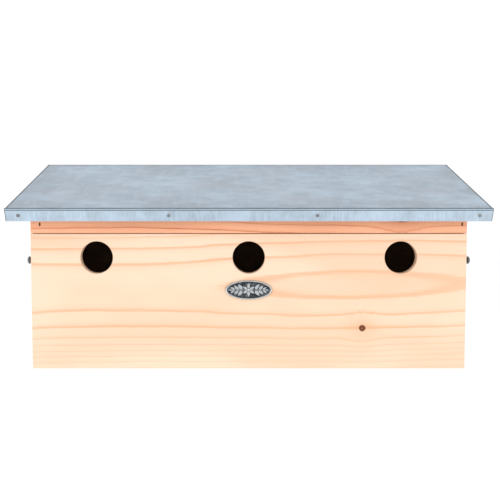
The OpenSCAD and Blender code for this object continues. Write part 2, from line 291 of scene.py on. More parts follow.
@dataclass(frozen=True)
class Rings:
    """How a log's growth rings meet a board.

    Attributes:
        pith: Where the pith lies across and through the board, in metres.
        width: Mean width of a year's growth, in metres.
        first: Radius of one summer-wood line, in metres, that the others are counted from.
        lean: Slope of the pith across the face, along the grain.
        sweep: Size and wavelength of the log's slow bend towards the face, in metres.
        sweep_from: Where along the grain the bend crosses its mean, in metres.
        wander: How far the lines waver, in metres.
        fading: How much weaker each year's line is than the last, outwards from the first.
    """

    pith: tuple[float, float]
    width: float = 0.0035
    first: float = 0.0
    lean: float = 0.0
    sweep: tuple[float, float] = (0.0011, 0.52)
    sweep_from: float = 0.0
    wander: float = 0.0030
    fading: float = 0.0


@dataclass(frozen=True)
class Pine:
    """Raw planed pine: growth rings round the log's pith, cut by the board's faces.

    Attributes:
        name: The material's name.
        grain: The way the grain runs.
        rings: How the growth rings meet the board.
        seed: Shifts every noise, so that no two boards match.
        early: Colour of the spring wood.
        warm: Colour of its warmer patches.
        late: Colour of the summer wood's lines.
        lines: How strongly the lines show.
        knot: A knot in the face, if the board has one.
        hole_shades: Painted shade of the punched holes round brads in the face.
        cut_tone: Colour of the open pores where the grain is cut across.
        chamber_shade_tone: Colour of the painted shade on the faces that look into the chambers.
        bark: Colour of the knot's rim.
        heart: Colour of the knot's middle.
        hole_shade_tone: Colour of the painted shade in the brads' punched holes.
    """

    name: str
    grain: Grain
    rings: Rings
    seed: float
    early: Colour = (0.85, 0.655, 0.490)
    warm: Colour = (0.83, 0.590, 0.420)
    late: Colour = (0.76, 0.420, 0.240)
    lines: float = 0.80
    knot: Knot | None = None
    hole_shades: tuple[BradHoleShade, ...] = ()
    cut_tone: Colour = (0.50, 0.305, 0.16)
    chamber_shade_tone: Colour = (0.19, 0.105, 0.055)
    bark: Colour = (0.125, 0.024, 0.006)
    heart: Colour = (0.42, 0.19, 0.10)
    hole_shade_tone: Colour = (0.085, 0.035, 0.018)

    def make(self) -> bpy.types.Material:
        """Writes the material.

        Returns:
            The pine material of this board.
        """
        recipe = Recipe(self.name)
        place = recipe.place()
        along, across, deep = (place[i] for i in self.grain.value)
        near_knot, knot_mask, knot_core, around = self.knot_masks(recipe, along, across)
        ring_wood = self.growth(recipe, along, across - near_knot, deep)
        fibres = recipe.noise(along * 9.0, across * 900.0, deep * 900.0 + self.seed, 3.0, 0.6)
        patches = recipe.noise(along * 6.0 + self.seed, across * 14.0, deep * 14.0, 2.0, 0.5)
        flecks = recipe.noise(along * 60.0, across * 1400.0, deep * 1400.0 - self.seed, 1.0, 0.5)
        fleck = recipe.ramp(flecks, [(0.66, 0.0), (0.76, 1.0)])
        pores = recipe.noise(along * 1300.0, across * 1300.0, deep * 1300.0, 2.0, 0.6)
        end = recipe.mark(END_GRAIN)
        sawn_shaded = recipe.mark(SAWN_AND_SHADED)

        wood = recipe.blend(recipe.ramp(patches, [(0.35, 0.0), (0.66, 1.0)]), self.early, self.warm)
        wood = recipe.blend(around * 0.35, wood, self.late)
        wood = recipe.blend(ring_wood * (self.lines + end * 0.2), wood, self.late)
        wood = recipe.blend((fibres - 0.5) * 0.30 + fleck * 0.08, wood, self.late)
        open_pores = recipe.ramp(pores, [(0.30, 0.0), (0.70, 1.0)])
        wood = recipe.blend(end * (open_pores * 0.42 + 0.16), wood, self.cut_tone)
        # Painted shade: faces that look into the chambers are painted dark; their bumps and roughness
        # show rough-sawn wood.
        wood = recipe.blend(sawn_shaded * (open_pores * 0.30 + 0.58), wood, self.chamber_shade_tone)
        wood = recipe.blend(knot_mask * 0.97, wood, self.bark)
        wood = recipe.blend(knot_core * 0.55, wood, self.heart)
        # Painted shade: a dark oval round each brad stands for the shade in its punched hole.
        for stain in self.hole_shades:
            wide = (along - stain.along) / stain.width
            high = (across - stain.across) / stain.height
            away = recipe.maths("SQRT", wide * wide + high * high) + (pores - 0.5) * 0.5
            wood = recipe.blend(recipe.ramp(away, [(0.55, 0.92), (1.0, 0.0)]), wood, self.hole_shade_tone)

        height = fibres * 0.45 + ring_wood * 0.35 + pores * (end * 0.6 + sawn_shaded * 1.2)
        rough = 0.58 + fibres * 0.14 + (end + sawn_shaded) * 0.12 - ring_wood * 0.08
        shader = {"Base Color": wood, "Roughness": rough, "IOR": 1.45, "Specular IOR Level": 0.25}
        return recipe.finish(shader, height, 0.00020)

    def knot_masks(
        self, recipe: Recipe, along: Wire, across: Wire
    ) -> tuple[Number, Number, Number, Number]:
        """Works out the knot and how far it pushes the growth lines aside.

        Args:
            recipe: The material being written.
            along: Distance along the grain.
            across: Distance across the board's face.

        Returns:
            The shift of the lines, then the masks of the knot, its pale core and its surroundings.
        """
        if not self.knot:
            return 0.0, Wire.zero(recipe), Wire.zero(recipe), Wire.zero(recipe)
        here = along - self.knot.along
        above = across - self.knot.across
        away = recipe.maths("SQRT", here * here + above * above * 1.1)
        wobble = recipe.noise(along * 300.0, across * 300.0, 0.0, 1.0) * 0.5 + 0.75
        ratio = away * wobble / self.knot.radius
        mask = recipe.ramp(ratio * 0.5, [(0.40, 1.0), (0.58, 0.0)])
        core = recipe.ramp(ratio * 0.5, [(0.02, 1.0), (0.26, 0.0)])
        pinch = recipe.maths("EXPONENT", -(ratio * ratio * 0.055))
        return above * pinch * 0.62, mask, core, pinch

    def growth(self, recipe: Recipe, along: Wire, across: Wire, deep: Wire) -> Wire:
        """Works out the summer wood of the growth rings at a point.

        Args:
            recipe: The material being written.
            along: Distance along the grain.
            across: Distance across the board's face.
            deep: Distance through the board.

        Returns:
            How much summer wood there is, from 0 to 1.
        """
        rings = self.rings
        ripple = recipe.noise(along * 17.0, across * 26.0 + self.seed, deep * 26.0, 2.0) - 0.5
        curl = recipe.noise(along * 58.0, across * 45.0 - self.seed, deep * 45.0, 1.0) - 0.5
        ripple = ripple + curl * 0.24
        sway = recipe.noise(along * 13.0 - self.seed, across * 20.0, deep * 20.0 + 4.0, 2.0) - 0.5
        size, wave = rings.sweep
        turn = 2.0 * math.pi / wave
        sweep = recipe.maths("SINE", (along - rings.sweep_from) * turn) * size
        wide = across - rings.pith[0] - along * rings.lean + ripple * rings.wander
        thick = deep - rings.pith[1] + sweep + sway * (rings.wander * 0.14)
        radius = recipe.maths("SQRT", wide * wide + thick * thick)

        # Good and poor years take turns, so the count is bent by a slow sine, and each line frays
        # along the fibres. Whole years are added to keep the count above zero.
        count = (radius - rings.first) / rings.width
        frayed = recipe.noise(along * 12.0, across * 1100.0, deep * 1100.0 - self.seed, 2.0, 0.6) - 0.5
        years = count - recipe.maths("SINE", count - 1.9) * 0.23 + frayed * 0.16 + 20.9
        part = recipe.maths("FRACT", years)
        year = recipe.maths("FLOOR", years)
        late = recipe.ramp(part, [(0.46, 0.0), (0.76, 0.22), (0.885, 1.0), (0.945, 0.85), (1.0, 0.0)])

        # No two years' lines are equally strong, and each comes and goes along the board.
        chance = recipe.node("TexWhiteNoise", {"noise_dimensions": "1D"}, {"W": year + self.seed})
        fade = recipe.noise(along * 7.0, across * 14.0, self.seed, 1.0)
        weaker = recipe.maths("MAXIMUM", 1.0 - count * rings.fading, 0.30)
        return late * (recipe.out(chance, "Value") * 0.30 + 0.22 + fade * 0.50) * weaker


@dataclass(frozen=True)
class ZincSheet:
    """Dull zinc-coated sheet, faintly cloudy, with painted shade lines and a painted highlight where it
    is folded.

    Attributes:
        width: Width of the folded roof, in metres.
        depth: Its length up the slope, in metres.
        front: Y and Z of its front top edge, in metres.
        slope: Its slope, in radians.
        name: The material's name.
        pale: Colour of the clean zinc.
        dull: Colour of its duller clouds.
        warm: Colour of its warmer clouds.
        bright: Colour of the lips' painted sheen and of the painted highlight along the folds.
        dark: Colour of the painted shade along the folds and at the corners where they end.
        handled: Colour of the zinc that hands have dulled, near the folds.
        gritty: Colour of the fine grit.
    """

    width: float
    depth: float
    front: tuple[float, float]
    slope: float
    name: str = "zinc_sheet"
    pale: Colour = (0.484, 0.574, 0.664)
    dull: Colour = (0.345, 0.410, 0.475)
    warm: Colour = (0.415, 0.430, 0.470)
    bright: Colour = (0.54, 0.67, 0.78)
    dark: Colour = (0.050, 0.065, 0.075)
    handled: Colour = (0.27, 0.31, 0.35)
    gritty: Colour = (0.27, 0.32, 0.37)

    def make(self) -> bpy.types.Material:
        """Writes the material.

        Returns:
            The roof's zinc material.
        """
        recipe = Recipe(self.name)
        x, y, z = recipe.place()
        up, above = self.on_slope(y, z)
        clouds = recipe.noise(x * 42.0, up * 60.0, above * 60.0, 5.0, 0.62)
        blots = recipe.noise(x * 9.0 + 3.0, up * 14.0, above * 14.0, 3.0, 0.5)
        grit = recipe.noise(x * 700.0, up * 700.0, above * 700.0, 2.0, 0.6)
        strokes = recipe.noise(x * 620.0, up * 620.0, above * 60.0, 2.0, 0.5)
        spangle = recipe.noise(x * 55.0, up * 55.0, above * 70.0, 4.0, 0.6)
        warmth = recipe.noise(x * 13.0, up * 17.0 + 5.0, above * 17.0, 3.0, 0.6)
        rubs = recipe.noise(x * 120.0, up * 26.0, above * 26.0, 3.0, 0.6)
        lip = recipe.ramp(-above * 100.0, [(0.10, 0.0), (0.30, 1.0)])

        pale = recipe.ramp(clouds * 0.6 + blots * 0.4, [(0.32, 0.0), (0.67, 1.0)])
        tone = recipe.blend(pale, self.dull, self.pale)
        warm = recipe.ramp(warmth, [(0.42, 0.0), (0.68, 1.0)]) * (0.45 - lip * 0.33)
        tone = recipe.blend(warm, tone, self.warm)
        handled = recipe.ramp(self.to_fold(recipe, x, up) * 10.0, [(0.0, 1.0), (0.50, 0.0)])
        handled = handled * recipe.ramp(warmth, [(0.30, 0.0), (0.60, 1.0)])
        tone = recipe.blend(handled * 0.40, tone, self.handled)
        tone = recipe.blend(recipe.ramp(rubs, [(0.50, 0.0), (0.68, 1.0)]) * 0.30, tone, self.pale)
        # Painted sheen: the lips' brush strokes and spangle are drawn in the bright colour, which also
        # makes every lip lighter than the top, more so towards the roof's sides.
        lip_sheen = recipe.ramp(strokes, [(0.40, 0.0), (0.66, 1.0)]) * 0.28
        lip_sheen = lip_sheen + recipe.ramp(spangle, [(0.42, 0.0), (0.62, 1.0)]) * 0.24
        lip_sheen = lip_sheen + recipe.ramp(recipe.maths("ABSOLUTE", x), [(0.06, 0.14), (0.22, 0.28)])
        tone = recipe.blend(lip * lip_sheen, tone, self.bright)
        tone = recipe.blend(recipe.ramp(grit, [(0.58, 0.0), (0.80, 1.0)]) * 0.20, tone, self.gritty)
        # Painted highlight: a thin bright line over the curve of each fold, just below the top.
        fold_highlight = recipe.ramp(-above * 100.0, [(0.02, 0.0), (0.05, 1.0), (0.09, 1.0), (0.12, 0.0)])
        tone = recipe.blend(fold_highlight * 0.75, tone, self.bright)
        # Painted shade: two dark lines along each fold, where the bent sheet looks darker.
        tone = recipe.blend(self.fold_shade_lines(recipe, x, up, above) * (0.60 + blots * 0.5), tone, self.dark)
        # Painted shade at the corners where the folds end.
        tone = recipe.blend(self.corner_shade(recipe, x, up, above) * 0.85, tone, self.dark)
        rough = 0.42 + clouds * 0.20 + grit * 0.10
        shader = {"Base Color": tone, "Metallic": 0.85, "Roughness": rough}
        height = grit * 0.35 + strokes * lip * 0.35 + clouds * 0.6
        return recipe.finish(shader, height, 0.00012)

    def on_slope(self, y: Wire, z: Wire) -> tuple[Wire, Wire]:
        """Turns a point's Y and Z into its place on the roof.

        Args:
            y: The point's Y, in metres.
            z: Its Z, in metres.

        Returns:
            The distance up the slope from the front edge, and the height above the face.
        """
        back, high = y - self.front[0], z - self.front[1]
        cosine, sine = math.cos(self.slope), math.sin(self.slope)
        return back * cosine + high * sine, high * cosine - back * sine

    def fold_shade_lines(self, recipe: Recipe, x: Wire, up: Wire, above: Wire) -> Wire:
        """Marks the two painted shade lines that run along every fold, one on each side of it.

        Args:
            recipe: The material being written.
            x: Place across the roof, in metres.
            up: Distance up the slope.
            above: Height above the roof's face.

        Returns:
            The lines' mask.
        """
        on_top = [(0.05, 0.0), (0.10, 1.0), (0.20, 0.9), (0.30, 0.0)]
        on_lip = [(0.11, 0.0), (0.15, 1.0), (0.19, 1.0), (0.24, 0.0)]
        top_line = recipe.ramp(self.to_fold(recipe, x, up) * 100.0, on_top)
        return top_line + recipe.ramp(-above * 100.0, on_lip)

    def to_fold(self, recipe: Recipe, x: Wire, up: Wire) -> Wire:
        """Returns the distance over the roof's face to its nearest fold."""
        to_side = self.width / 2 - recipe.maths("ABSOLUTE", x)
        return recipe.maths("MINIMUM", to_side, recipe.maths("MINIMUM", up, self.depth - up))

    def corner_shade(self, recipe: Recipe, x: Wire, up: Wire, above: Wire) -> Wire:
        """Marks painted shade at the corners, where the front and rear folds meet the slanting ends of
        the lips.

        Args:
            recipe: The material being written.
            x: Place across the roof, in metres.
            up: Distance up the slope.
            above: Height above the roof's face.

        Returns:
            The ends' mask.
        """
        to_end = self.width / 2 - recipe.maths("ABSOLUTE", x) + above * 0.08
        to_edge = recipe.maths("MINIMUM", up, self.depth - up)
        near_end = recipe.ramp(to_end * 100.0, [(0.02, 1.0), (0.10, 0.0)])
        return near_end * recipe.ramp(to_edge * 100.0, [(0.04, 1.0), (0.08, 0.0)])


@dataclass(frozen=True)
class PlatedSteel:
    """Steel hardware: screws, nails, hooks and plates, brighter or duller by its colours.

    Attributes:
        name: The material's name, which is also the record's slot where it has one.
        pale: Colour of the clean plating.
        dull: Colour of its film and spots.
        rough: Roughness of the plating.
    """

    name: str
    pale: Colour
    dull: Colour
    rough: float = 0.34

    def make(self) -> bpy.types.Material:
        """Writes the material.

        Returns:
            The hardware's material.
        """
        recipe = Recipe(self.name)
        x, y, z = recipe.place()
        spots = recipe.noise(x * 420.0, y * 420.0, z * 420.0, 3.0, 0.6)
        film = recipe.noise(x * 90.0, y * 90.0, z * 90.0, 2.0, 0.5)
        scratches = recipe.noise(x * 300.0, y * 300.0, z * 2600.0, 2.0, 0.5)
        tone = recipe.blend(recipe.ramp(film, [(0.35, 0.0), (0.68, 1.0)]), self.pale, self.dull)
        tone = recipe.blend(recipe.ramp(spots, [(0.60, 0.0), (0.78, 1.0)]) * 0.5, tone, self.dull)
        rough = self.rough + spots * 0.22 + scratches * 0.10
        shader = {"Base Color": tone, "Metallic": 0.92, "Roughness": rough}
        return recipe.finish(shader, spots * 0.5 + scratches * 0.5, 0.00004)


@dataclass(frozen=True)
class CastBadge:
    """Cast white metal, rubbed bright where it stands up and dark with age in its recesses.

    Attributes:
        low: Y of the badge's recessed field, in metres.
        high: Y of its highest relief, in metres, nearer the front.
        name: The material's name.
        aged: Colour of the recesses.
        rubbed: Colour of the relief.
        stained: Colour of the spots on the relief.
    """

    low: float
    high: float
    name: str = "cast_badge"
    aged: Colour = (0.036, 0.041, 0.046)
    rubbed: Colour = (0.70, 0.73, 0.76)
    stained: Colour = (0.24, 0.25, 0.26)

    def make(self) -> bpy.types.Material:
        """Writes the material.

        Returns:
            The badge's material.
        """
        recipe = Recipe(self.name)
        x, y, z = recipe.place()
        lift = (y - self.low) / (self.high - self.low)
        grain = recipe.noise(x * 1500.0, y * 1500.0, z * 1500.0, 3.0, 0.6)
        stain = recipe.noise(x * 260.0, y * 260.0, z * 260.0, 2.0, 0.5)
        bright = recipe.ramp(lift + (stain - 0.5) * 0.40, [(0.14, 0.0), (0.42, 0.65), (0.8, 1.0)])
        tone = recipe.blend(bright, self.aged, self.rubbed)
        spots = recipe.ramp(stain, [(0.48, 0.0), (0.66, 1.0)]) * bright
        tone = recipe.blend(spots * 0.35, tone, self.stained)
        rough = 0.52 - bright * 0.22 + grain * 0.12
        shader = {"Base Color": tone, "Metallic": 0.9, "Roughness": rough}
        return recipe.finish(shader, grain, 0.00006)


@dataclass(frozen=True)
class StudioFloor:
    """A pale matt studio floor with the faintest mottling between its two whites."""

    name: str = "studio_floor"
    first: Colour = (0.96, 0.96, 0.96)
    second: Colour = (0.98, 0.98, 0.98)

    def make(self) -> bpy.types.Material:
        """Writes the material.

        Returns:
            The floor's material.
        """
        recipe = Recipe(self.name)
        x, y, z = recipe.place()
        mottle = recipe.noise(x * 3.0, y * 3.0, z, 2.0)
        tone = recipe.blend(mottle, self.first, self.second)
        return recipe.finish({"Base Color": tone, "Roughness": 0.9}, mottle, 0.0001)


# ---------------------------------------------------------------- bench work

END_GRAIN = "end_grain"
# Faces inside the chambers: rough-sawn wood with painted shade.
SAWN_AND_SHADED = "rough_sawn"


class Bench:
    """Modelling operators on one piece at a time, as they are used by hand."""

    @staticmethod
    def clear() -> None:
        """Leaves edit mode and deselects every object."""
        if bpy.context.object and bpy.context.object.mode != "OBJECT":
            bpy.ops.object.mode_set(mode="OBJECT")
        bpy.ops.object.select_all(action="DESELECT")

    @staticmethod
    def only(piece: bpy.types.Object) -> None:
        """Makes a piece the only one selected, and the active one.

        Args:
            piece: The piece.
        """
        Bench.clear()
        piece.select_set(True)
        bpy.context.view_layer.objects.active = piece

    @staticmethod
    def name(name: str) -> bpy.types.Object:
        """Names the active object and its mesh.

        Args:
            name: The new name.

        Returns:
            The object.
        """
        piece = bpy.context.object
        piece.name = name
        piece.data.name = name
        return piece

    @staticmethod
    def edit(piece: bpy.types.Object) -> None:
        """Opens a piece in edit mode."""
        Bench.only(piece)
        bpy.ops.object.mode_set(mode="EDIT")

    @staticmethod
    def pick_edges(piece: bpy.types.Object, wanted: Callable[[bmesh.types.BMEdge], bool]) -> None:
        """Selects just the wanted edges of the piece in edit mode.

        Args:
            piece: The piece being edited.
            wanted: Says of an edge whether it is selected.
        """
        bpy.ops.mesh.select_mode(type="EDGE")
        bpy.ops.mesh.select_all(action="DESELECT")
        mesh = bmesh.from_edit_mesh(piece.data)
        for edge in mesh.edges:
            if wanted(edge):
                edge.select_set(True)
        mesh.select_flush_mode()
        bmesh.update_edit_mesh(piece.data)

    @staticmethod
    def settle(piece: bpy.types.Object, smooth_degrees: float = 32.0) -> None:
        """Applies a piece's place and shades it smooth below an angle.

        Args:
            piece: The piece.
            smooth_degrees: Edges sharper than this stay sharp.
        """
        Bench.only(piece)
        bpy.ops.object.transform_apply(location=True, rotation=True, scale=True)
        bpy.ops.object.shade_smooth_by_angle(angle=math.radians(smooth_degrees))

    @staticmethod
    def dress(piece: bpy.types.Object, material: bpy.types.Material) -> None:
        """Gives a piece one material."""
        piece.data.materials.clear()
        piece.data.materials.append(material)

    @staticmethod
    def everything() -> None:
        """Selects the whole of the piece in edit mode."""
        bpy.ops.mesh.select_all(action="SELECT")

    @staticmethod
    def close(outwards: bool = False) -> None:
        """Leaves edit mode.

        Args:
            outwards: Whether every face is turned outwards first.
        """
        if outwards:
            Bench.everything()
            bpy.ops.mesh.normals_make_consistent(inside=False)
        bpy.ops.object.mode_set(mode="OBJECT")

    @staticmethod
    def bevel(width: float, segments: int) -> None:
        """Rounds the selected edges."""
        bpy.ops.mesh.bevel(offset=width, segments=segments, affect="EDGES", clamp_overlap=False)

    @staticmethod
    def extrude(move: tuple[float, float, float]) -> None:
        """Extrudes what is selected and moves it."""
        bpy.ops.mesh.extrude_region_move(TRANSFORM_OT_translate={"value": move})

    @staticmethod
    def hand_over(piece: bpy.types.Object, body: str, slot: str, node: str) -> None:
        """Rides a finished piece on its body in place of a frame node, and reports it.

        Args:
            piece: The finished piece.
            body: The body that it rides on.
            slot: The record's material slot; not used.
            node: The frame node that it stands for.
        """
        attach(piece, body)
        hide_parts(node)
        log.info("%s rides on %s: %d faces", piece.name, body, len(piece.data.polygons))

    @staticmethod
    def copy_node(node: bpy.types.Object, name: str) -> bpy.types.Object:
        """Copies a frame node's mesh as a free piece with its doubles merged and flat faces joined.

        Args:
            node: The frame's node.
            name: The new piece's name.

        Returns:
            The copy.
        """
        Bench.only(node)
        bpy.ops.object.duplicate()
        piece = Bench.name(name)
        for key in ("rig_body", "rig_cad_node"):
            if key in piece:
                del piece[key]
        bpy.ops.object.parent_clear(type="CLEAR_KEEP_TRANSFORM")
        Bench.edit(piece)
        Bench.everything()
        bpy.ops.mesh.customdata_custom_splitnormals_clear()
        bpy.ops.mesh.remove_doubles(threshold=0.000002)
        bpy.ops.mesh.dissolve_limited(angle_limit=math.radians(0.3))
        return piece


# ---------------------------------------------------------------- wooden boards


@dataclass
class Board:
    """One pine board: its node, its finish and how its edges are eased.

    Attributes:
        node: The frame node that it stands for.
        body: The body that it rides on.
        finish: The pine it is cut from.
        ease: Width of the eased edges, in metres.
        shortest: Edges shorter than this stay sharp, in metres.
        slot: The record's material slot.
        arris: Edges that turn by less than this stay as they are, in radians.
    """

    node: str
    body: str
    finish: Pine
    slot: str
    ease: float = 0.0006
    shortest: float = 0.0042
    arris: float = math.radians(40.0)

    def build(self, nodes: dict[str, bpy.types.Object]) -> None:
        """Copies the node, eases its long edges, marks its end grain and dresses it.

        Args:
            nodes: The frame's nodes by name.
        """
        piece = Bench.copy_node(nodes[self.node], self.node + "_board")
        Bench.pick_edges(piece, self.is_arris)
        Bench.bevel(self.ease, 2)
        Bench.close()
        self.mark_faces(piece)
        Bench.settle(piece)
        Bench.dress(piece, self.finish.make())
        Bench.hand_over(piece, self.body, self.slot, self.node)

    def is_arris(self, edge: bmesh.types.BMEdge) -> bool:
        """Says whether an edge is a long sharp one that sandpaper would ease.

        Args:
            edge: An edge of the board.

        Returns:
            Whether it is eased.
        """
        if len(edge.link_faces) != 2 or edge.calc_length() < self.shortest:
            return False
        return edge.calc_face_angle() > self.arris

    def mark_faces(self, piece: bpy.types.Object) -> None:
        """Marks each face that is cut across the grain, and each that looks into a chamber, whose
        rough-sawn wood gets painted shade.

        Args:
            piece: The board.
        """
        along = self.finish.grain.value[0]
        low, high = self.chambers()
        piece.data.attributes.new(END_GRAIN, "FLOAT", "FACE")
        piece.data.attributes.new(SAWN_AND_SHADED, "FLOAT", "FACE")
        marks = [piece.data.attributes[name].data for name in (END_GRAIN, SAWN_AND_SHADED)]
        for face, end, sawn_shaded in zip(piece.data.polygons, *marks):
            end.value = float(abs(face.normal[along]) > 0.8)
            sawn_shaded.value = float(all(low[i] < face.center[i] < high[i] for i in range(3)))

    @staticmethod
    def chambers() -> tuple[Vector, Vector]:
        """Works out the space between the walls, the floor and the back, a hair too large.

        Returns:
            Its lowest and its highest corner, in metres.
        """
        hair, top = 0.0002, 0.2
        wall, far_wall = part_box("side_wall_left"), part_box("side_wall_right")
        low = Vector((wall[1].x - hair, wall[0].y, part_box("floor_panel")[1].z - hair))
        return low, Vector((far_wall[0].x + hair, wall[1].y + hair, top))


@dataclass
class FrontPanel(Board):
    """The fold-down front, with its three round entrances eased as well.

    Attributes:
        entrance_x: X of each entrance's middle, in metres.
        entrance_z: Z of their middles, in metres.
        entrance_r: Their radius, in metres.
        longest_facet: Edges of at least this length belong to the panel's outline, in metres.
    """

    entrance_x: tuple[float, ...] = (-0.1595, 0.0, 0.1595)
    entrance_z: float = 0.1186
    entrance_r: float = 0.017
    longest_facet: float = 0.02

    def is_arris(self, edge: bmesh.types.BMEdge) -> bool:
        """Says whether an edge is a long sharp one or lies round an entrance.

        Args:
            edge: An edge of the panel.

        Returns:
            Whether it is eased.
        """
        if len(edge.link_faces) != 2 or edge.calc_face_angle() < self.arris:
            return False
        if edge.calc_length() >= self.longest_facet:
            return True
        return all(self.near_entrance(vert.co) for vert in edge.verts)

    def near_entrance(self, point: Vector) -> bool:
        """Says whether a point lies on the wall of an entrance."""
        across = (math.hypot(point.x - x, point.z - self.entrance_z) for x in self.entrance_x)
        return any(abs(distance - self.entrance_r) < 0.0003 for distance in across)


# ---------------------------------------------------------------- roof


@dataclass
class ZincRoof:
    """The zinc sheet, folded down over the roof board on all four sides.

    Attributes:
        width: Width of its top, in metres.
        depth: Length of its top up the slope, in metres.
        front_y: Y of its front top edge, in metres.
        front_z: Z of that edge, in metres.
        slope: Slope of the roof, in radians.
        thickness: Thickness of the sheet, in metres.
        fold: Outer radius of its folds, in metres.
        lip: Height of its folded edges, in metres.
        cut: How far the ends of an edge are cut back at its foot, in metres.
        corner: Length of the notch at each corner, in metres.
    """

    width: float = 0.500
    depth: float = 0.2125
    front_y: float = -0.105
    front_z: float = 0.1704
    slope: float = math.radians(13.5)
    thickness: float = 0.0006
    fold: float = 0.0012
    lip: float = 0.0135
    cut: float = 0.0011
    corner: float = 0.0015

    def build(self) -> None:
        """Builds the sheet and gives it its zinc."""
        sheet = self.sheet()
        zinc = ZincSheet(self.width, self.depth, (self.front_y, self.front_z), self.slope)
        Bench.dress(sheet, zinc.make())
        Bench.hand_over(sheet, "box", "zinc_sheet", "roof_sheet")

    def sheet(self) -> bpy.types.Object:
        """Folds the sheet from a flat plane, thickens it and tilts it into place.

        Returns:
            The sheet.
        """
        Bench.clear()
        bpy.ops.mesh.primitive_plane_add(size=1.0, location=(0.0, self.depth / 2, 0.0))
        sheet = Bench.name("roof_sheet_zinc")
        sheet.scale = (self.width, self.depth, 1.0)
        bpy.ops.object.transform_apply(location=True, rotation=True, scale=True)
        Bench.edit(sheet)
        for y in (self.corner, self.depth - self.corner):
            Bench.everything()
            bpy.ops.mesh.bisect(plane_co=(0.0, y, 0.0), plane_no=(0.0, 1.0, 0.0))
        for level in (0.0, self.depth):
            self.turn_down(sheet, axis=1, level=level, middle=0.0)
        for level in (-self.width / 2, self.width / 2):
            self.turn_down(sheet, axis=0, level=level, middle=self.depth / 2)
        Bench.pick_edges(sheet, self.is_fold)
        Bench.bevel(self.fold, 4)
        Bench.close(outwards=True)
        self.face_outwards(sheet)
        thick = sheet.modifiers.new("thickness", "SOLIDIFY")
        thick.thickness = self.thickness
        thick.offset = -1.0
        Bench.only(sheet)
        bpy.ops.object.modifier_apply(modifier=thick.name)
        Bench.edit(sheet)
        Bench.everything()
        bpy.ops.transform.rotate(value=-self.slope, orient_axis="X", center_override=(0.0, 0.0, 0.0))
        bpy.ops.transform.translate(value=(0.0, self.front_y, self.front_z))
        Bench.close()
        Bench.settle(sheet, 40.0)
        return sheet

    def turn_down(self, sheet: bpy.types.Object, axis: int, level: float, middle: float) -> None:
        """Extrudes the sheet's edge that lies at a level into a hanging lip with its ends cut back.

        Args:
            sheet: The sheet, in edit mode.
            axis: 0 for an edge at a constant X, 1 for one at a constant Y.
            level: That X or Y, in metres.
            middle: The middle of the edge along the other axis, in metres.
        """
        other = 1 - axis
        touching = 1e-5
        span = (self.depth / 2 - self.corner * 0.75, self.width / 2)[axis]

        def wanted(edge: bmesh.types.BMEdge) -> bool:
            """Says whether the edge lies in the level and clear of the corners.

            Args:
                edge: An edge of the sheet.

            Returns:
                Whether it is turned down.
            """
            first, second = (vert.co for vert in edge.verts)
            flat = all(abs(co[axis] - level) + abs(co.z) < touching for co in (first, second))
            return flat and abs((first[other] + second[other]) / 2 - middle) < span

        Bench.pick_edges(sheet, wanted)
        Bench.extrude((0.0, 0.0, -self.lip))
        mesh = bmesh.from_edit_mesh(sheet.data)
        feet = [vert.co for vert in mesh.verts if vert.select]
        low, high = min(co[other] for co in feet), max(co[other] for co in feet)
        for co in feet:
            if co[other] - low < touching:
                co[other] += self.cut
            elif high - co[other] < touching:
                co[other] -= self.cut
        bmesh.update_edit_mesh(sheet.data)

    @staticmethod
    def is_fold(edge: bmesh.types.BMEdge) -> bool:
        """Says whether an edge is a fold between the top and a lip."""
        return len(edge.link_faces) == 2 and edge.calc_face_angle() > math.radians(60.0)

    @staticmethod
    def face_outwards(sheet: bpy.types.Object) -> None:
        """Turns the sheet's faces so that the top looks up.

        Args:
            sheet: The sheet, before it is thickened.
        """
        top = max(sheet.data.polygons, key=lambda face: face.area)
        if top.normal.z < 0:
            sheet.data.flip_normals()


# ---------------------------------------------------------------- badge


